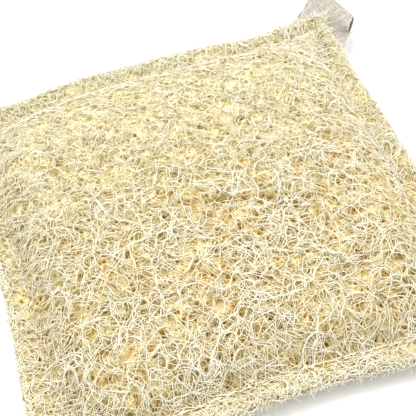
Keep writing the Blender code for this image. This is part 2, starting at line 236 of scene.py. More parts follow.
def tape_leg(u):
    """How far each leg of the folded tape is from the middle plane."""
    opening = step((u - TAPE_OPENS_AT) / (TAPE_OPEN_AT - TAPE_OPENS_AT))
    return TAPE_LEG_OFFSET + (TAPE_LOOP_RADIUS - TAPE_LEG_OFFSET) * opening


def pocket(x, y):
    """How far each layer is lifted by the tape under it."""
    u, w = (x + y) / math.sqrt(2.0), (y - x) / math.sqrt(2.0)
    aside = (np.abs(w - TAPE_SHIFT) - TAPE_WIDTH / 2 - 5.0 * MM) / (5.0 * MM)
    before = (TAPE_INNER_END - 5.0 * MM - u) / (5.0 * MM)
    height = tape_leg(u - tape_slant(u, w)) + TAPE_THICKNESS / 2 + 0.45 * MM
    return (1.0 - step(aside)) * (1.0 - step(before)) * height


def slope_share(x, y):
    """How far up the bulge has risen, from 0 at the band to 1 in the middle."""
    reach = (np.abs(x) ** SQUARENESS + np.abs(y) ** SQUARENESS) ** (1.0 / SQUARENESS)
    t = (PAD_HALF - reach - SLOPE_START) / SLOPE_WIDTH
    return 1.0 - (1.0 - np.clip(t, 0.0, 1.0)) ** SLOPE_POWER


def folded_step(x, y, line_y, line_slope, middle_x, width_x, height, reach):
    """A crease: the far side stands up along a slanting line and sinks back behind it."""
    ahead = y - (line_y + line_slope * (x - middle_x))
    lip = 0.5 + 0.5 * np.tanh(ahead / (0.8 * MM))
    return height * lip * np.exp(-((np.maximum(ahead, 0.0) / reach) ** 2)) * hump(x, middle_x, width_x)


def lumps(x, y):
    """The small unevenness of a pressed net."""
    first = np.sin(x / (2.1 * MM) + 1.7 * np.sin(y / (4.3 * MM)))
    second = np.sin(y / (1.8 * MM) + 1.4 * np.sin(x / (3.9 * MM) + 1.0))
    third = np.sin((x + y) / (5.2 * MM)) * np.sin((x - 1.3 * y) / (6.1 * MM))
    return 0.16 * MM * (first + second) + 0.22 * MM * third


def crease_shade(x, y):
    """How much painted shade darkens the fibres and the mat that lie under the long crease's lip."""
    ahead = y - (CREASE_Y - 0.8 * MM + CREASE_SLOPE * (x - CREASE_X))
    return 0.8 * hump(ahead, 0.0, 0.6 * MM) * hump(x, 9 * MM, 20 * MM)


def front_lobes(x, y):
    """The low ridges and creases that a loofah keeps when it is pressed flat."""
    far_ridge = 1.3 * MM * hump(y, 36 * MM, 8 * MM) - 1.2 * MM * hump(y, 49 * MM, 5 * MM)
    long_crease = folded_step(x, y, CREASE_Y, CREASE_SLOPE, CREASE_X, 22 * MM, 1.1 * MM, 13 * MM)
    short_crease = folded_step(x, y, -36 * MM, -0.20, 36 * MM, 16 * MM, 1.3 * MM, 11 * MM)
    swell = 0.5 * MM * np.sin(x / (12 * MM) + 0.8) * np.sin(y / (14 * MM) - 0.4)
    return far_ridge + long_crease + short_crease + swell


def band_rise(inset):
    """Height off the middle plane of the band outside the seam: round edge, crest, groove."""
    rounding = 1.0 - np.clip(inset / RIM_RADIUS, 0.0, 1.0)
    round_edge = np.sqrt(np.clip(1.0 - rounding**2, 0.0, 1.0))
    groove = step((inset / SEAM_INSET - 0.5) / 0.5)
    return RIM_RISE + (BAND_RISE - RIM_RISE) * round_edge - (BAND_RISE - SEAM_RISE) * groove


def front_height(x, y):
    """Height of the upper face's fibres over a point of the true square."""
    inside = slope_share(x, y) * (FRONT_DOME + front_lobes(x, y))
    return MID_HEIGHT + band_rise(inset_of(x, y)) + inside + pocket(x, y) + lumps(x, y)


def back_height(x, y):
    """The under side bulges less, and its lowest part is pressed flat where the pad rests."""
    crown = BACK_CROWN * (1.0 - (np.hypot(x, y) / BACK_CROWN_RADIUS) ** 2)
    inside = slope_share(x, y) * (BACK_DOME + crown)
    rise = band_rise(inset_of(x, y)) + inside + pocket(x, y) + 0.6 * lumps(x + 9 * MM, y)
    return np.maximum(MID_HEIGHT - rise, 0.0)


FACES = {"front": (front_height, 1.0), "back": (back_height, -1.0)}


def linear(code):
    """A colour given as an sRGB hex value, in the linear values that shaders use."""
    channels = [int(code[i : i + 2], 16) / 255.0 for i in (1, 3, 5)]
    return [c / 12.92 if c <= 0.04045 else ((c + 0.055) / 1.055) ** 2.4 for c in channels] + [1.0]


def add_node(tree, kind, settings=(), inputs=(), links=()):
    """Adds a shader node, sets its values and links its sockets to others' outputs."""
    node = tree.nodes.new(kind)
    for name, value in dict(settings).items():
        setattr(node, name, value)
    for name, value in dict(inputs).items():
        node.inputs[name].default_value = value
    for name, output in dict(links).items():
        tree.links.new(output, node.inputs[name])
    return node


def ramp(tree, factor, stops):
    node = add_node(tree, "ShaderNodeValToRGB", links={"Fac": factor})
    elements = node.color_ramp.elements
    while len(elements) < len(stops):
        elements.new(0.5)
    for element, (place, code) in zip(elements, stops):
        element.position = place
        element.color = linear(code)
    return node.outputs["Color"]


def multiply(tree, first, second, share=1.0):
    mix = {"data_type": "RGBA", "blend_type": "MULTIPLY"}
    return add_node(tree, "ShaderNodeMix", mix, {0: share}, {6: first, 7: second}).outputs[2]


def new_material(name, roughness, specular):
    material = bpy.data.materials.new(name)
    material.use_nodes = True
    shader = material.node_tree.nodes["Principled BSDF"]
    shader.inputs["Roughness"].default_value = roughness
    shader.inputs["Specular IOR Level"].default_value = specular
    return material, material.node_tree, shader


def loofah_fibre_material():
    """Dry plant fibre, retted and bleached by the sun: cream on top, yellower and tan deeper in, partly the
    fibres' own colour and partly painted shade.
    """
    material, tree, shader = new_material("retted_loofah_fibre", 0.6, 0.3)
    uv = add_node(tree, "ShaderNodeUVMap", {"uv_map": "OFBake"}).outputs["UV"]
    parts = add_node(tree, "ShaderNodeSeparateXYZ", links={"Vector": uv})
    # Darker and yellower with depth: partly the deeper fibres' own tan, partly painted warm shade between
    # the fibres.
    depth_stops = (
        (0.0, "#F6F2E6"),
        (0.2, "#F3EEDE"),
        (0.42, "#E8E0BE"),
        (0.68, "#CFBD7C"),
        (1.0, "#A47A34"),
    )
    tone_stops = ((0.0, "#F3E9CC"), (0.3, "#FAF8EA"), (0.75, "#FFFFFF"), (1.0, "#F1F2E0"))
    deep = ramp(tree, parts.outputs["Y"], depth_stops)
    tone = ramp(tree, parts.outputs["X"], tone_stops)
    tree.links.new(multiply(tree, deep, tone), shader.inputs["Base Color"])
    return material


def mat_material():
    """The fibres deeper in, too many to tell apart: pale lines that cross over khaki and brown gaps, darker
    partly by the deeper fibres' own colour and partly by painted shade.
    """
    material, tree, shader = new_material("matted_loofah_depth", 0.8, 0.15)
    where = add_node(tree, "ShaderNodeTexCoord").outputs["Object"]
    wavy = {"Scale": 1.0 / COARSE_MESH, "Detail": 2.0}
    noise = add_node(tree, "ShaderNodeTexNoise", (), wavy, {"Vector": where})
    bent = add_node(
        tree,
        "ShaderNodeMix",
        {"data_type": "VECTOR"},
        {0: 0.0016},
        {4: where, 5: noise.outputs["Color"]},
    ).outputs[1]
    lines = []
    for mesh_size in (FINE_MESH, MIDDLE_MESH, COARSE_MESH):
        cells = add_node(
            tree,
            "ShaderNodeTexVoronoi",
            {"feature": "DISTANCE_TO_EDGE"},
            {"Scale": 1.0 / mesh_size},
            {"Vector": bent},
        )
        lines.append(cells.outputs["Distance"])
    lowest = {"operation": "MINIMUM"}
    far = add_node(tree, "ShaderNodeMath", lowest, (), {0: lines[0], 1: lines[1]}).outputs[0]
    near = add_node(tree, "ShaderNodeMath", lowest, (), {0: lines[1], 1: lines[2]}).outputs[0]
    apart = add_node(tree, "ShaderNodeSeparateXYZ", links={"Vector": where})
    share = {"From Min": CHANGE_START, "From Max": CHANGE_START + CHANGE_LENGTH}
    farness = add_node(tree, "ShaderNodeMapRange", (), share, {"Value": apart.outputs["Y"]}).outputs[0]
    nearest = add_node(tree, "ShaderNodeMix", (), (), {0: farness, 2: near, 3: far}).outputs[0]
    # The gaps between the lines go khaki to brown: partly the deeper fibres' tan, partly painted shade
    # between them.
    near_stops = ((0.0, "#F0E9CA"), (0.05, "#E0D097"), (0.13, "#BEA054"), (0.28, "#806028"))
    far_stops = ((0.0, "#F2EED8"), (0.05, "#E1DCB3"), (0.13, "#BFB57A"), (0.28, "#8C7F44"))
    coloured = {"data_type": "RGBA"}
    ramps = {6: ramp(tree, nearest, near_stops), 7: ramp(tree, nearest, far_stops), 0: farness}
    colour = add_node(tree, "ShaderNodeMix", coloured, (), ramps).outputs[2]
    # Darker in the holes and under the crease's lip, from the pit attribute: painted shade over the deeper
    # fibres' tan.
    pit = add_node(tree, "ShaderNodeAttribute", {"attribute_name": "pit"}).outputs["Fac"]
    depth = ramp(tree, pit, ((0.0, "#FFFFFF"), (0.45, "#DDBC7C"), (1.0, "#643C12")))
    tree.links.new(multiply(tree, colour, depth), shader.inputs["Base Color"])
    bump = add_node(
        tree,
        "ShaderNodeBump",
        {"invert": True},
        {"Strength": 0.7, "Distance": 0.0006},
        {"Height": nearest},
    )
    tree.links.new(bump.outputs["Normal"], shader.inputs["Normal"])
    return material


def tape_material():
    """Grey-beige cotton twill: soft ribs with painted shade in the darker lines between them, paler along
    the edges.
    """
    material, tree, shader = new_material("washed_cotton_twill", 0.9, 0.15)
    uv = add_node(tree, "ShaderNodeUVMap", {"uv_map": "OFBake"}).outputs["UV"]
    parts = add_node(tree, "ShaderNodeSeparateXYZ", links={"Vector": uv})
    rib = add_node(tree, "ShaderNodeAttribute", {"attribute_name": "rib"}).outputs["Fac"]
    where = add_node(tree, "ShaderNodeTexCoord").outputs["Object"]
    grainy = {"Scale": 1.0 / YARN_GRAIN, "Detail": 3.0}
    speckle = add_node(tree, "ShaderNodeTexNoise", (), grainy, {"Vector": where})
    # Darker where the rib is low, in the lines between the ribs: painted shade in the grooves.
    colour = ramp(tree, rib, ((0.0, "#98948C"), (0.45, "#C6C3BB"), (1.0, "#E6E4DE")))
    grain = ramp(tree, speckle.outputs["Fac"], ((0.3, "#D9D5CF"), (0.7, "#FFFFFF")))
    edge = ramp(
        tree,
        parts.outputs["X"],
        ((0.0, "#FFFFFF"), (0.06, "#EDEAE6"), (0.94, "#EDEAE6"), (1.0, "#FFFFFF")),
    )
    woven = multiply(tree, multiply(tree, colour, grain), edge)
    tree.links.new(woven, shader.inputs["Base Color"])
    bump = add_node(
        tree,
        "ShaderNodeBump",
        (),
        {"Strength": 0.5, "Distance": 0.0002},
        {"Height": speckle.outputs["Fac"]},
    )
    tree.links.new(bump.outputs["Normal"], shader.inputs["Normal"])
    return material


def thread_material():
    """Twisted cotton sewing thread, matt and off-white with a faint warm cast."""
    material, tree, shader = new_material("spun_sewing_thread", 0.75, 0.2)
    uv = add_node(tree, "ShaderNodeUVMap", {"uv_map": "OFBake"}).outputs["UV"]
    parts = add_node(tree, "ShaderNodeSeparateXYZ", links={"Vector": uv})
    tone = ramp(tree, parts.outputs["X"], ((0.0, "#D0C4B5"), (1.0, "#E4D9CB")))
    tree.links.new(tone, shader.inputs["Base Color"])
    return material


class Net:
    """A loofah's net: rounded meshes between knots, through which fibres run from knot to knot."""

    def __init__(self, draw, near_cell, far_cell):
        self.draw = draw
        edge = PAD_HALF + 3 * MM
        rows = []
        y = -edge
        shift = 0.0
        while y < edge:
            spacing = float(between(near_cell, far_cell, y))
            shift = 0.5 - shift
            xs = np.arange(-edge + shift * spacing, edge, spacing)
            row = np.stack([xs, np.full_like(xs, y)], -1)
            rows.append(row + draw.uniform(-0.45, 0.45, row.shape) * spacing)
            y += 0.87 * spacing
        seeds = [Vector(place) for place in np.concatenate(rows)]
        points, _, faces, _, _, _ = delaunay_2d_cdt(seeds, [], [], 0, 1e-7)
        points = np.array([tuple(p) for p in points])
        faces = np.array([tuple(f) for f in faces if len(f) == 3])
        self.knots = points[faces].mean(axis=1)
        self.next = [[] for _ in faces]
        edges = {}
        for i, face in enumerate(faces):
            for k in range(3):
                side = (min(face[k], face[k - 1]), max(face[k], face[k - 1]))
                if side in edges:
                    self.next[i].append(edges[side])
                    self.next[edges[side]].append(i)
                else:
                    edges[side] = i

    def walk(self, start, steps, straying):
        """A fibre's run from knot to knot, each time into the straighter of the two ways on."""
        ways = self.next[start]
        path = [start, ways[self.draw.integers(len(ways))]]
        noise = self.draw.normal(0.0, straying, (steps, 3))
        for row in noise:
            here, before = path[-1], path[-2]
            along = self.knots[here] - self.knots[before]
            best, score = None, -9.0
            for k, way in enumerate(self.next[here]):
                if way == before:
                    continue
                onward = self.knots[way] - self.knots[here]
                straight = float(along @ onward) / (math.sqrt((along @ along) * (onward @ onward)) + 1e-12)
                if straight + row[k] > score:
                    best, score = way, straight + row[k]
            if best is None:
                break
            path.append(best)
        return self.knots[path]


class LooseRuns:
    """Flat runs of points, end to end, before they are laid on the pad."""

    def __init__(self):
        self.places = []
        self.owners = []
        self.count = 0

    def add(self, runs, lengths):
        """Adds the first so many points of each run."""
        used = np.arange(runs.shape[1])[None, :] < lengths[:, None]
        self.places.append(runs[used])
        self.owners.append(np.repeat(np.arange(len(runs)) + self.count, lengths))
        self.count += len(runs)

    def joined(self):
        return np.concatenate(self.places), np.concatenate(self.owners)


def smooth_run(points, per_span):
    """Points along a smooth curve through the given ones, whose corners are first pulled in."""
    soft = points.copy()
    soft[1:-1] = 0.6 * points[1:-1] + 0.2 * (points[:-2] + points[2:])
    more = np.vstack([2 * soft[:1] - soft[1:2], soft, 2 * soft[-1:] - soft[-2:-1]])
    t = (np.arange(per_span) / per_span)[None, :, None]
    p0, p1, p2, p3 = (more[i : len(more) - 3 + i][:, None] for i in range(4))
    bend = (2 * p0 - 5 * p1 + 4 * p2 - p3) * t * t
    twist = (3 * p1 - p0 - 3 * p2 + p3) * t**3
    curve = 0.5 * (2 * p1 + (p2 - p0) * t + bend + twist)
    return np.vstack([curve.reshape(-1, 2), soft[-1:]])


def net_runs(loose, draw, near_cell, far_cell, share, steps, straying):
    """Long fibres that follow a net's meshes."""
    net = Net(draw, near_cell, far_cell)
    for start in draw.permutation(len(net.knots))[: int(len(net.knots) * share)]:
        if not net.next[start]:
            continue
        path = net.walk(int(start), int(draw.integers(*steps)), straying)
        path = smooth_run(path + draw.normal(0.0, 0.2 * MM, 2), 2)
        loose.add(path[None], np.array([len(path)]))


def combing(x, y):
    """The direction that fibres keep to in each patch, as an angle."""
    wide = 1.5 * np.sin(x / (9 * MM) + 1.2 * np.sin(y / (13 * MM)))
    narrow = 1.3 * np.sin(y / (7 * MM) + x / (17 * MM))
    return wide + narrow + 0.9


def edge_direction(x, y):
    """The angle of the way straight out over the nearest side."""
    return np.where(np.abs(x) > np.abs(y), np.where(x > 0, 0.0, math.pi), np.sign(y) * math.pi / 2)


def wandering_runs(loose, draw, starts, pace, steps, curl, straying, siblings):
    """Bundles of one to three fibres that wander side by side and then part."""
    x, y = starts[:, 0], starts[:, 1]
    near_edge = inset_of(x, y) < 6.5 * MM
    heading = np.where(near_edge, edge_direction(x, y) + draw.normal(0, 0.7, len(x)), combing(x, y))
    heading = heading + np.where(near_edge, 0.0, draw.normal(0, straying, len(x)))
    curl = between(curl[0], curl[1], y)
    pace = between(pace[0], pace[1], y)
    most = int(steps[1])
    bend = draw.normal(0, 1.0, len(x)) * curl
    base = np.empty((len(x), most, 2))
    aside = np.empty_like(base)
    base[:, 0] = starts
    for k in range(most):
        ahead = np.stack([np.cos(heading), np.sin(heading)], -1)
        aside[:, k] = np.stack([-ahead[:, 1], ahead[:, 0]], -1)
        if k + 1 < most:
            base[:, k + 1] = base[:, k] + pace[:, None] * ahead
        bend = 0.8 * bend + draw.normal(0, 0.6, len(x)) * curl
        heading = heading + bend
    count = np.arange(most)
    for share in siblings:
        chosen = draw.random(len(x)) < share
        size = int(chosen.sum())
        offset = draw.normal(0, 0.5 * MM, size)
        opening = draw.normal(0, 0.09 * MM, size)
        spread = offset[:, None] + opening[:, None] * count[None, :]
        runs = base[chosen] + spread[..., None] * aside[chosen]
        mean = between(steps[1], steps[0], y[chosen])
        lengths = np.clip((mean * draw.uniform(0.45, 1.1, size)).astype(int), 4, most)
        loose.add(runs, lengths)


class Holes:
    """The openings of the net, which its fibres bend round."""

    GRID = 0.25 * MM
    REACH = 76.0 * MM

    def __init__(self, seed, spacing, radius, share, deep_share):
        draw = np.random.default_rng(seed)
        size = int(2 * self.REACH / self.GRID)
        self.push = np.zeros((size, size, 2))
        self.core = np.zeros((size, size))
        self.deep = np.zeros((size, size))
        y = -64 * MM
        while y < 64 * MM:
            gap = float(between(spacing[0], spacing[1], y))
            for x in np.arange(-64 * MM + draw.uniform(0, gap), 64 * MM, gap):
                middle = np.array([x, y]) + draw.uniform(-0.4, 0.4, 2) * gap
                if draw.random() < share and inset_of(*middle) > 9 * MM:
                    wide = float(between(radius[0], radius[1], y)) * draw.uniform(0.5, 1.4)
                    turn = draw.uniform(0, math.pi)
                    deep = draw.random() < deep_share
                    self.dig(middle, 0.7 * wide if deep else wide, draw.uniform(1.0, 2.0), turn, deep)
            y += 0.9 * gap

    def dig(self, middle, radius, stretch, turn, deep):
        """Adds one oval hole: what it pushes aside, its core and whether it goes right down."""
        reach = 3.0 * radius * stretch
        low = np.floor((middle - reach + self.REACH) / self.GRID).astype(int)
        high = np.ceil((middle + reach + self.REACH) / self.GRID).astype(int)
        axis_x = np.arange(low[0], high[0]) * self.GRID - self.REACH - middle[0]
        axis_y = np.arange(low[1], high[1]) * self.GRID - self.REACH - middle[1]
        x, y = np.meshgrid(axis_x, axis_y, indexing="ij")
        long_way = (x * math.cos(turn) + y * math.sin(turn)) / stretch
        short_way = -x * math.sin(turn) + y * math.cos(turn)
        away = np.hypot(long_way, short_way)
        pushed = np.sqrt(away**2 + radius**2 * np.exp(-((away / (1.4 * radius)) ** 2)))
        more = pushed / np.maximum(away, 1e-6) - 1.0
        move_long = long_way * more * stretch
        move_short = short_way * more
        window = (slice(low[0], high[0]), slice(low[1], high[1]))
        self.push[window + (0,)] += move_long * math.cos(turn) - move_short * math.sin(turn)
        self.push[window + (1,)] += move_long * math.sin(turn) + move_short * math.cos(turn)
        core = np.exp(-((away / radius) ** 2))
        self.core[window] = np.maximum(self.core[window], core)
        if deep:
            self.deep[window] = np.maximum(self.deep[window], core)

    def read(self, field, x, y):
        """A field's value at points, between its grid's own."""
        place_x = np.clip((x + self.REACH) / self.GRID, 0, field.shape[0] - 2)
        place_y = np.clip((y + self.REACH) / self.GRID, 0, field.shape[1] - 2)
        i, j = place_x.astype(int), place_y.astype(int)
        s, t = place_x - i, place_y - j
        if field.ndim == 3:
            s, t = s[:, None], t[:, None]
        low = field[i, j] * (1 - s) + field[i + 1, j] * s
        high = field[i, j + 1] * (1 - s) + field[i + 1, j + 1] * s
        return low * (1 - t) + high * t


def scattered(draw, count, height, weight):
    """Starting points over the pad, as many to each patch as its true area and weight ask."""
    size = 150
    axis = (np.arange(size) + 0.5) / size * 2 * PAD_HALF - PAD_HALF
    x, y = np.meshgrid(axis, axis, indexing="ij")
    slope_x, slope_y = np.gradient(height(x, y), axis, axis)
    share = np.sqrt(1.0 + slope_x**2 + slope_y**2) * weight(x, y) * (inset_of(x, y) > 0)
    chosen = draw.choice(size * size, count, p=(share / share.sum()).ravel())
    cell = axis[1] - axis[0]
    spread = draw.uniform(-0.5, 0.5, (count, 2)) * cell
    return np.stack([x.ravel()[chosen], y.ravel()[chosen]], -1) + spread


def laid_on_face(loose, face, holes, draw, sink, unevenness, radius, leave_out):
    """Lays flat runs on a face of the pad, round its holes and weaving up and down."""
    height, side = FACES[face]
    place, owner = loose.joined()
    place = place + holes.read(holes.push, place[:, 0], place[:, 1])
    core = holes.read(holes.core, place[:, 0], place[:, 1])
    deep = holes.read(holes.deep, place[:, 0], place[:, 1])
    in_hole = np.zeros(loose.count, bool)
    in_hole[owner[core > 0.8]] = True
    in_deep = np.zeros(loose.count, bool)
    in_deep[owner[deep > 0.6]] = True
    out = (in_hole & (draw.random(loose.count) < leave_out)) | (in_deep & (draw.random(loose.count) < 0.9))
    keep = (inset_of(place[:, 0], place[:, 1]) > 0.5 * MM) & ~out[owner]
    index = np.flatnonzero(keep)
    fresh = np.ones(len(index), bool)
    fresh[1:] = (owner[index[1:]] != owner[index[:-1]]) | (index[1:] != index[:-1] + 1)
    number = np.cumsum(fresh) - 1
    long_enough = np.bincount(number)[number] >= 4
    index, fresh = index[long_enough], fresh[long_enough]
    number = np.cumsum(fresh) - 1
    x, y = place[index, 0], place[index, 1]
    core = core[index]
    starts = np.flatnonzero(fresh)
    ends = np.append(starts[1:], len(x)) - 1
    behind = np.arange(len(x)) - starts[number]
    left = ends[number] - np.arange(len(x))
    total = len(starts)
    own_sink = draw.normal(0.0, unevenness, total)[number]
    wave = np.sin(draw.uniform(0, 6.3, total)[number] + behind * draw.uniform(0.35, 1.1, total)[number])
    tucked = END_TUCK * (np.exp(-behind / 0.9) + np.exp(-left / 0.9))
    sagging = SAG_INTO_HOLE * core * (sink > 0.3 * MM)
    highest = min(sink, 0.0) - 0.1 * MM
    depth = np.maximum(sink + own_sink + FIBRE_WEAVING * wave + tucked + sagging, highest)
    cut_x, cut_y = hand_cut(x, y)
    level = height(x, y) - side * depth
    if side < 0:
        level = np.maximum(level, radius + 0.03 * MM)
    thick = between(radius, 0.86 * radius, y) * draw.uniform(0.78, 1.18, total)[number]
    thick = thick * np.where((behind == 0) | (left == 0), 0.5, 1.0)
    return {
        "points": np.stack([cut_x, cut_y, level], -1),
        "radii": thick,
        "tones": draw.uniform(0.02, 0.97, total)[number],
        # A fibre's depth sets its colour: darker with depth, partly its own tan and partly painted shade;
        # under the long crease's lip painted shade darkens it further.
        "depths": depth / DEEPEST + (side > 0) * crease_shade(x, y),
        "starts": starts,
        "ends": ends,
    }


def round_outline(around, half, radius):
    """The place at that distance round a square with round corners, and the way out there."""
    flat = half - radius
    side_length = 2.0 * flat + radius * math.pi / 2
    corner = np.floor(around / side_length)
    run = around - corner * side_length
    turn = np.clip((run - 2.0 * flat) / radius, 0.0, math.pi / 2)
    x = flat + radius * np.cos(turn)
    y = -flat + np.minimum(run, 2.0 * flat) + radius * np.sin(turn)
    c, s = np.cos(corner * math.pi / 2), np.sin(corner * math.pi / 2)
    out_x, out_y = np.cos(turn), np.sin(turn)
    return c * x - s * y, s * x + c * y, c * out_x - s * out_y, s * out_x + c * out_y


def outline_length(half, radius):
    return 4.0 * (2.0 * (half - radius) + radius * math.pi / 2)


def rim_place(around, lift, proud):
    """A point on the rounded rim, at an angle up from the middle plane, and the way out there."""
    x, y, out_x, out_y = round_outline(around, PAD_HALF, CORNER_RADIUS)
    inset = RIM_RADIUS * (1.0 - np.cos(lift)) - proud * np.cos(lift)
    lifted = pocket(x, y) * np.tanh(4.0 * lift)
    level = MID_HEIGHT + (BAND_RISE + proud) * np.sin(lift) + lifted
    cut_x, cut_y = hand_cut(x - out_x * inset, y - out_y * inset)
    outwards = np.stack([out_x * np.cos(lift), out_y * np.cos(lift), np.sin(lift)], -1)
    return np.stack([cut_x, cut_y, level], -1), outwards, lifted


def equal_runs(points, radius, tones, depths):
    """Runs of one length, in the form that fibre_object takes."""
    count, length = points.shape[:2]
    taper = np.ones(length)
    taper[[0, -1]] = 0.5
    starts = np.arange(count) * length
    return {
        "points": points.reshape(-1, 3),
        "radii": (radius[:, None] * taper).ravel(),
        "tones": np.repeat(tones, length),
        "depths": (depths / DEEPEST + np.zeros((count, length))).ravel(),
        "starts": starts,
        "ends": starts + length - 1,
    }


def rim_fibres(draw, count):
    """Fibres over the rounded rim, most of them across it, where the layers' cut edges meet."""
    length, pace = RIM_FIBRE_POINTS, RIM_FIBRE_PACE
    around = draw.uniform(0.0, outline_length(PAD_HALF, CORNER_RADIUS), count)
    lift = draw.uniform(-1.4, 1.4, count)
    heading = draw.choice([-1.0, 1.0], count) * math.pi / 2 + draw.normal(0.0, 0.65, count)
    bend = draw.normal(0.0, 0.16, count)
    proud = draw.uniform(-0.5, 0.1, count) * MM
    points = np.empty((count, length, 3))
    crosses = np.zeros(count, bool)
    side = np.sign(lift)
    for k in range(length):
        wave = 0.15 * MM * np.sin(proud / MM * 40.0 + 1.1 * k)
        points[:, k], _, _ = rim_place(around, lift, proud + wave)
        crosses |= (np.sign(lift) != side) & (pocket_near(around) > 0.3 * MM)
        around = around + pace * np.cos(heading)
        lift = lift + pace * np.sin(heading) / (2.8 * MM)
        turned = np.abs(lift) > 1.5
        lift = np.clip(lift, -1.5, 1.5)
        heading = np.where(turned, -heading, heading + bend + draw.normal(0.0, 0.22, count))
    keep = ~crosses
    tones = draw.uniform(0.02, 0.97, count)
    radius = RIM_FIBRE_RADIUS * draw.uniform(0.75, 1.3, count)
    # Fibres sunk deeper into the rim get darker: partly their own tan, partly painted shade.
    depths = np.clip(0.1 * MM - proud, 0.0, None)[:, None]
    return equal_runs(points[keep], radius[keep], tones[keep], depths[keep])


def pocket_near(around):
    """How far the tape lifts the layers at that place on the outline."""
    x, y, _, _ = round_outline(around, PAD_HALF, CORNER_RADIUS)
    return pocket(x, y)


def rim_fuzz(draw, count):
    """Short ends of fibres that stand out from the cut rim."""
    around = draw.uniform(0.0, outline_length(PAD_HALF, CORNER_RADIUS), count)
    lift = draw.uniform(-1.3, 1.5, count)
    lift = np.where((np.abs(lift) < 0.35) & (pocket_near(around) > 0.3 * MM), 0.6, lift)
    root, outwards, _ = rim_place(around, lift, np.full(count, -0.4 * MM))
    tilt = draw.normal(0.0, 0.55, (count, 3))
    curl = draw.normal(0.0, 0.85, (count, 3))
    reach = draw.uniform(0.4, 1.15, count) * MM
    points = np.empty((count, 3, 3))
    for k in range(3):
        t = k / 2.0
        points[:, k] = root + reach[:, None] * (t * (outwards + tilt) + t * t * curl)
    points[..., 2] = np.maximum(points[..., 2], 0.3 * MM)
    tones = draw.uniform(0.02, 0.97, count)
    radius = FUZZ_RADIUS * draw.uniform(0.75, 1.3, count)
    return equal_runs(points, radius, tones, np.zeros((count, 1)))


def seam_stitches(face):
    """One side's stitches, dipping at each needle hole, and sunk under the fibres but on the near side."""
    height, side = FACES[face]
    half = PAD_HALF - SEAM_INSET
    total = outline_length(half, SEAM_CORNER)
    number = int(round(total / STITCH))
    across = np.linspace(0.03, 0.97, 9)
    around = (np.arange(number)[:, None] + across[None, :]) * total / number
    draw = np.random.default_rng(21 if side > 0 else 22)
    x, y, out_x, out_y = round_outline(around, half, SEAM_CORNER)
    wander = draw.normal(0.0, 0.18 * MM, (number, 1)) + 0.1 * MM * np.sin(5.0 * across)[None, :]
    x, y = x + out_x * wander, y + out_y * wander
    arch = draw.uniform(-0.45, -0.05, (number, 1)) * MM
    sunk = HIDDEN_BY_FIBRES * step((y + 62 * MM) / (4 * MM))
    rise = -STITCH_DIP - sunk + (STITCH_DIP + arch) * np.sin(math.pi * across)[None, :] ** 0.6
    clear = np.minimum(x, y).max(axis=1) < TACK_START - 0.7 * MM
    cut_x, cut_y = hand_cut(x, y)
    points = np.stack([cut_x, cut_y, height(x, y) + side * rise], -1)[clear]
    count = len(points)
    tones = draw.uniform(0.1, 0.9, count)
    return equal_runs(points, np.full(count, THREAD_RADIUS), tones, np.zeros((count, 1)))


def tack_stitches(face):
    """The bar of close stitches that holds the tape, sewn to and fro over the seam."""
    height, side = FACES[face]
    draw = np.random.default_rng(31 if side > 0 else 32)
    share = np.linspace(-1.0, 1.0, 7)
    count = TACK_PASSES
    to_and_fro = 0.22 * MM * np.where(np.arange(count) % 2, 1, -1)[:, None] * share
    x = np.linspace(TACK_START, TACK_END, count)[:, None] + to_and_fro
    x = x + draw.normal(0.0, 0.07 * MM, (count, 1))
    y = PAD_HALF - SEAM_INSET + share[None, :] * TACK_HALF_WIDTH * draw.uniform(0.85, 1.12, (count, 1))
    rise = 0.25 * MM * draw.uniform(0.7, 1.3, (count, 1)) + 0.9 * MM * (1.0 - share**2) ** 0.5 - 0.9 * MM
    rise = np.maximum(rise, -0.5 * MM) - 0.55 * MM
    cut_x, cut_y = hand_cut(x, y)
    points = np.stack([cut_x, cut_y, height(x, y) + side * rise], -1)
    tones = draw.uniform(0.0, 0.7, count)
    return equal_runs(points, np.full(count, TACK_THREAD_RADIUS), tones, np.zeros((count, 1)))


def frayed_ends(draw, count):
    """Loose thread ends at the tape's cut selvedge, next to the pad."""
    s = draw.uniform(6.0, 7.5, count)
    u, height = tape_middle(s)
    w = np.full(count, TAPE_SHIFT - TAPE_WIDTH / 2 + 0.3 * MM)
    u = u + tape_slant(u, w)
    root = np.stack([(u - w) / math.sqrt(2.0), (u + w) / math.sqrt(2.0), MID_HEIGHT + height], -1)
    aim = np.array([0.85, -0.45, 0.1]) + draw.normal(0.0, 0.3, (count, 3))
    curl = draw.normal(0.0, 0.9, (count, 3))
    reach = draw.uniform(1.2, 2.8, count) * MM
    t = np.linspace(0.0, 1.0, 6)[None, :, None]
    points = root[:, None] + reach[:, None, None] * (t * aim[:, None] + t * t * curl[:, None])
    tones = draw.uniform(0.2, 0.9, count)
    return equal_runs(points, np.full(count, 0.13 * MM), tones, np.zeros((count, 1)))


def tape_middle(s):
    """The folded tape's middle line, s from 0 to 36: out along the upper leg, round and back."""
    folded = np.minimum(s, 36.0 - s)
    u = np.interp(folded, (0.0, 4.0, 13.0), (TAPE_INNER_END, TAPE_OPENS_AT, TAPE_OPEN_AT))
    angle = math.pi / 2 - math.pi * np.clip(s - 13.0, 0.0, 10.0) / 10.0
    legs = np.sign(18.0 - s) * tape_leg(u)
    height = np.where((s > 13.0) & (s < 23.0), TAPE_LOOP_RADIUS * np.sin(angle), legs)
    return u + TAPE_LOOP_RADIUS * np.cos(angle), height


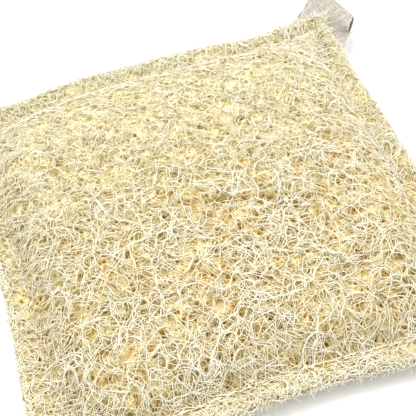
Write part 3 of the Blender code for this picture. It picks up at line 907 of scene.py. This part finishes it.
def tape_object(material):
    """The folded twill tape, with its ribs raised and its two ends cut square."""
    dense = np.linspace(0.0, 36.0, 1441)
    u, height = tape_middle(dense)
    run = np.concatenate([[0.0], np.cumsum(np.hypot(np.diff(u), np.diff(height)))])
    rows, columns = int(run[-1] / TAPE_ROW), TAPE_COLUMNS
    s = np.interp(np.linspace(0.0, run[-1], rows), run, dense)
    u, height = tape_middle(s)
    along = np.stack([np.gradient(u), np.gradient(height)], -1)
    along /= np.linalg.norm(along, axis=1, keepdims=True)
    across = np.linspace(-0.5, 0.5, columns) * TAPE_WIDTH
    length = np.linspace(0.0, run[-1], rows)
    phase = (across[None, :] + RIB_LEAN * length[:, None]) / RIB_SPACING
    weave = np.sin(2.0 * math.pi * length[:, None] / WEFT_SPACING + 2.0 * np.round(phase))
    rib = 0.5 + 0.5 * np.cos(2.0 * math.pi * phase) + 0.12 * weave
    edge = np.clip((TAPE_WIDTH / 2 - np.abs(across)) / (0.8 * MM), 0.0, 1.0)[None, :]
    flat_half = (TAPE_THICKNESS / 2 - 0.07 * MM) * (0.55 + 0.45 * np.sqrt(edge))
    half = flat_half + RIB_HEIGHT * (rib - 0.4) * edge
    w = TAPE_SHIFT + across[None, :] + TAPE_CROSSING * (s[:, None] / 18.0 - 1.0)
    verts = []
    for way in (1.0, -1.0):
        face_u = u[:, None] - way * along[:, 1:] * half
        level = MID_HEIGHT + height[:, None] + way * along[:, :1] * half
        out = face_u + tape_slant(face_u, w)
        verts.append(np.stack([(out - w) / math.sqrt(2.0), (out + w) / math.sqrt(2.0), level], -1))
    outer = np.arange(rows * columns).reshape(rows, columns)
    inner = outer + rows * columns
    share_u = 0.02 + 0.96 * np.linspace(0.0, 1.0, columns)
    share_v = np.linspace(0.0, 1.0, rows)
    faces, uvs = [], []

    def add(corners, places):
        faces.append(corners)
        uvs.extend(places)

    for i in range(rows - 1):
        v0, v1 = 0.45 * share_v[i], 0.45 * share_v[i + 1]
        for j in range(columns - 1):
            a, b = share_u[j], share_u[j + 1]
            add(
                (outer[i, j], outer[i + 1, j], outer[i + 1, j + 1], outer[i, j + 1]),
                ((a, v0), (a, v1), (b, v1), (b, v0)),
            )
            add(
                (inner[i, j], inner[i, j + 1], inner[i + 1, j + 1], inner[i + 1, j]),
                ((a, 0.5 + v0), (b, 0.5 + v0), (b, 0.5 + v1), (a, 0.5 + v1)),
            )
        for j, a, b in ((0, 0.0, 0.015), (columns - 1, 0.985, 1.0)):
            corners = (outer[i, j], inner[i, j], inner[i + 1, j], outer[i + 1, j])
            places = ((a, v0), (b, v0), (b, v1), (a, v1))
            add(corners if j == 0 else corners[::-1], places if j == 0 else places[::-1])
    for i, v0, v1 in ((0, 0.955, 0.97), (rows - 1, 0.98, 0.995)):
        for j in range(columns - 1):
            a, b = share_u[j], share_u[j + 1]
            corners = (outer[i, j], outer[i, j + 1], inner[i, j + 1], inner[i, j])
            places = ((a, v0), (b, v0), (b, v1), (a, v1))
            add(corners if i == 0 else corners[::-1], places if i == 0 else places[::-1])
    mesh = bpy.data.meshes.new("loop_tape")
    mesh.from_pydata(np.concatenate(verts).reshape(-1, 3).tolist(), [], faces)
    mesh.uv_layers.new(name="OFBake").data.foreach_set("uv", np.array(uvs).ravel())
    shade = mesh.attributes.new("rib", "FLOAT", "POINT")
    shade.data.foreach_set("value", np.tile(np.clip(rib, 0.0, 1.0).ravel(), 2))
    mesh.polygons.foreach_set("use_smooth", np.ones(len(mesh.polygons), bool))
    mesh.materials.append(material)
    obj = bpy.data.objects.new("loop_tape", mesh)
    bpy.context.scene.collection.objects.link(obj)
    return obj


def fibre_object(name, laid, material, sides=3):
    """Closed fibres along the given runs, as one mesh, each with so many flat sides."""
    points, radii = laid["points"], laid["radii"]
    starts, ends = laid["starts"], laid["ends"]
    before = np.arange(len(points)) - 1
    after = np.arange(len(points)) + 1
    before[starts] = starts
    after[ends] = ends
    along = points[after] - points[before]
    along /= np.linalg.norm(along, axis=1, keepdims=True) + 1e-12
    across = np.cross(along, (0.0, 0.0, 1.0))
    size = np.linalg.norm(across, axis=1, keepdims=True)
    across = np.where(size > 1e-3, across / (size + 1e-12), (1.0, 0.0, 0.0))
    up = np.cross(across, along)
    turns = np.arange(sides) / sides * 2 * math.pi + math.pi / 2
    ring = np.cos(turns)[None, :, None] * across[:, None] + np.sin(turns)[None, :, None] * up[:, None]
    verts = (points[:, None] + radii[:, None, None] * ring).reshape(-1, 3)
    is_end = np.zeros(len(points), bool)
    is_end[ends] = True
    first = np.flatnonzero(~is_end)[:, None] * sides
    k = np.arange(sides)
    turned = (k + 1) % sides
    quads = np.stack([first + k, first + k + sides, first + turned + sides, first + turned], -1)
    caps = np.concatenate([starts[:, None] * sides + k, ends[:, None] * sides + k[::-1]])
    loops = np.concatenate([quads.ravel(), caps.ravel()])
    sizes = np.concatenate([np.full(quads.size // 4, 4), np.full(len(caps), sides)])
    mesh = bpy.data.meshes.new(name)
    mesh.vertices.add(len(verts))
    mesh.vertices.foreach_set("co", verts.ravel())
    mesh.loops.add(len(loops))
    mesh.loops.foreach_set("vertex_index", loops)
    mesh.polygons.add(len(sizes))
    mesh.polygons.foreach_set("loop_start", np.concatenate([[0], np.cumsum(sizes)[:-1]]))
    mesh.update(calc_edges=True)
    owner = loops // sides
    u = np.clip(laid["tones"][owner] + 0.004 * (loops % sides), 0.0, 1.0)
    v = np.clip(laid["depths"][owner], 0.0, 1.0)
    mesh.uv_layers.new(name="OFBake").data.foreach_set("uv", np.stack([u, v], -1).ravel())
    mesh.polygons.foreach_set("use_smooth", np.ones(len(sizes), bool))
    mesh.materials.append(material)
    obj = bpy.data.objects.new(name, mesh)
    bpy.context.scene.collection.objects.link(obj)
    return obj


def close_layer(mesh, side):
    """Closes a layer on its inner side with a lid, which has a place of its own in the UVs."""
    shape = bmesh.new()
    shape.from_mesh(mesh)
    uv = shape.loops.layers.uv["OFBake"]
    for face in shape.faces:
        for loop in face.loops:
            loop[uv].uv.x = 0.1 + 0.9 * loop[uv].uv.x
    centre = shape.verts.new((0.0, 0.0, MID_HEIGHT + side * 0.05 * MM))
    for edge in [edge for edge in shape.edges if edge.is_boundary]:
        lid = shape.faces.new((edge.verts[0], edge.verts[1], centre))
        for loop in lid.loops:
            loop[uv].uv = (0.045 + 0.6 * loop.vert.co.x, 0.045 + 0.6 * loop.vert.co.y)
    bmesh.ops.recalc_face_normals(shape, faces=shape.faces)
    shape.to_mesh(mesh)
    shape.free()


def base_object(face, holes, divisions, depth, material):
    """The matted inside of one layer, closed at the middle plane, a little under its top fibres."""
    height, side = FACES[face]
    bpy.ops.object.select_all(action="DESELECT")
    bpy.ops.mesh.primitive_grid_add(x_subdivisions=divisions, y_subdivisions=divisions, size=2.0)
    obj = bpy.context.object
    obj.name = "loofah_mat_" + face
    mesh = obj.data
    place = np.empty(len(mesh.vertices) * 3)
    mesh.vertices.foreach_get("co", place)
    place = place.reshape(-1, 3)
    half = PAD_HALF - 0.7 * MM
    flat = half - CORNER_RADIUS
    x, y = place[:, 0] * half, place[:, 1] * half
    over_x, over_y = np.abs(x) - flat, np.abs(y) - flat
    outside = np.hypot(over_x, over_y)
    pull = np.where((over_x > 0) & (over_y > 0), np.maximum(over_x, over_y) / np.maximum(outside, 1e-9), 1.0)
    x = np.where(over_x > 0, np.sign(x) * (flat + over_x * pull), x)
    y = np.where(over_y > 0, np.sign(y) * (flat + over_y * pull), y)
    core = holes.read(holes.core, x, y)
    deep = holes.read(holes.deep, x, y)
    fade = step(inset_of(x, y) / (6 * MM))
    pit = (0.7 * core + 2.6 * deep) * MM * fade
    level = height(x, y) - side * (between(depth[0], depth[1], y) + pit)
    middle = MID_HEIGHT + side * (0.05 * MM + pocket(x, y))
    above = middle + side * 0.1 * MM
    level = np.maximum(level, above) if side > 0 else np.clip(level, 0.25 * MM, above)
    level = np.where(np.abs(place[:, :2]).max(axis=1) > 0.9999, middle, level)
    cut_x, cut_y = hand_cut(x, y)
    mesh.vertices.foreach_set("co", np.stack([cut_x, cut_y, level], -1).ravel())
    # The pit attribute darkens the mat in the net's holes, most where they go right down, and under the
    # crease's lip: painted shade over the deeper fibres' tan.
    shade = mesh.attributes.new("pit", "FLOAT", "POINT")
    shaded = 0.45 * core + 0.75 * deep + (0.6 * crease_shade(x, y) if side > 0 else 0.0)
    shade.data.foreach_set("value", np.clip(shaded, 0, 1) * fade)
    mesh.uv_layers.active.name = "OFBake"
    close_layer(mesh, side)
    mesh.polygons.foreach_set("use_smooth", np.ones(len(mesh.polygons), bool))
    mesh.materials.clear()
    mesh.materials.append(material)
    return obj


def camera_and_light():
    """The camera of the photograph, and the bright soft light of a white table top."""
    azimuth, elevation = math.radians(CAMERA_AZIMUTH), math.radians(CAMERA_ELEVATION)
    back = Vector(
        (
            math.sin(azimuth) * math.cos(elevation),
            -math.cos(azimuth) * math.cos(elevation),
            math.sin(elevation),
        )
    )
    camera = bpy.data.objects.new("camera", bpy.data.cameras.new("camera"))
    camera.location = Vector(CAMERA_TARGET) + CAMERA_DISTANCE * back
    camera.rotation_euler = back.to_track_quat("Z", "Y").to_euler()
    camera.data.lens = FOCAL_PIXELS / PHOTO_PIXELS * SENSOR
    camera.data.sensor_width = SENSOR
    camera.data.clip_start = 0.01
    bpy.context.scene.collection.objects.link(camera)
    bpy.context.scene.camera = camera
    lamp("key", (-0.3, 0.25, 0.88), 0.6, 8.5)
    lamp("fill", (0.5, -0.2, 0.6), 0.9, 4.6)
    world = bpy.data.worlds.new("white_room")
    world.use_nodes = True
    world.node_tree.nodes["Background"].inputs["Color"].default_value = (1, 1, 1, 1)
    world.node_tree.nodes["Background"].inputs["Strength"].default_value = ROOM_BRIGHTNESS
    bpy.context.scene.world = world
    bpy.context.scene.view_settings.view_transform = "Standard"
    bpy.ops.object.select_all(action="DESELECT")
    bpy.ops.mesh.primitive_plane_add(size=3.0, location=(0.0, 0.0, -0.05 * MM))
    floor = bpy.context.object
    floor.name = "floor"
    material, _, shader = new_material("white_table", 0.7, 0.2)
    shader.inputs["Base Color"].default_value = (0.95, 0.95, 0.95, 1.0)
    floor.data.materials.append(material)


def lamp(name, place, size, power):
    data = bpy.data.lights.new(name, "AREA")
    data.size = size
    data.energy = power
    obj = bpy.data.objects.new(name, data)
    obj.location = place
    obj.rotation_euler = Vector(place).to_track_quat("Z", "Y").to_euler()
    bpy.context.scene.collection.objects.link(obj)


def face_fibres(face, holes, fibre):
    """The fibres over one face, as one piece for each layer."""
    height = FACES[face][0]

    def weight(x, y):
        corner = hump(np.abs(x), 58 * MM, 10 * MM) * hump(np.abs(y), 58 * MM, 10 * MM)
        on_band = np.where(inset_of(x, y) < 9 * MM, 1.5, 1.0)
        return between(1.0, 1.5, y) * on_band * (1.0 + 1.5 * corner)

    pieces = []
    for name, seed, count, net_share, sink, unevenness, radius, leave_out in FIBRE_LAYERS[face]:
        draw = np.random.default_rng(seed)
        loose = LooseRuns()
        if net_share:
            net_runs(loose, draw, *NET_MESH, net_share, (6, 15), 0.4)
        starts = scattered(draw, count, height, weight)
        wandering_runs(loose, draw, starts, **(CURLS if name == "curls" else BUNDLES))
        laid = laid_on_face(loose, face, holes, draw, sink, unevenness, radius, leave_out)
        pieces.append(fibre_object("fibres_" + face + "_" + name, laid, fibre))
    return pieces


def main():
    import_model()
    camera_and_light()
    fibre = loofah_fibre_material()
    mat = mat_material()
    holes = Holes(2, (4.2 * MM, 3.4 * MM), (0.85 * MM, 0.55 * MM), 0.85, 0.28)
    back_holes = Holes(3, (4.6 * MM, 4.2 * MM), (0.9 * MM, 0.8 * MM), 0.8, 0.05)
    front = base_object("front", holes, FRONT_MAT_DIVISIONS, FRONT_MAT_DEPTH, mat)
    back = base_object("back", back_holes, BACK_MAT_DIVISIONS, BACK_MAT_DEPTH, mat)
    pieces = [front, back]
    pieces += face_fibres("front", holes, fibre)
    pieces += face_fibres("back", back_holes, fibre)
    over_rim = rim_fibres(np.random.default_rng(41), RIM_FIBRES)
    pieces.append(fibre_object("fibres_rim", over_rim, fibre))
    fuzz = rim_fuzz(np.random.default_rng(42), FUZZ_ENDS)
    pieces.append(fibre_object("fibres_fuzz", fuzz, fibre))
    for piece in pieces:
        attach(piece, "root")
    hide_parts("loofah_front")
    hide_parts("loofah_back")
    tape = tape_object(tape_material())
    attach(tape, "root")
    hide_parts("hanging_loop")
    thread = thread_material()
    ends = frayed_ends(np.random.default_rng(51), FRAYED_ENDS)
    frayed = fibre_object("loop_frayed_ends", ends, thread, 4)
    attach(frayed, "root")
    for face in FACES:
        seam = fibre_object("seam_stitches_" + face, seam_stitches(face), thread, 6)
        tack = fibre_object("tack_stitches_" + face, tack_stitches(face), thread, 6)
        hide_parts("seam_thread_" + face)
        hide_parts("loop_tack_" + face)
        for piece in (seam, tack):
            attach(piece, "root")


main()
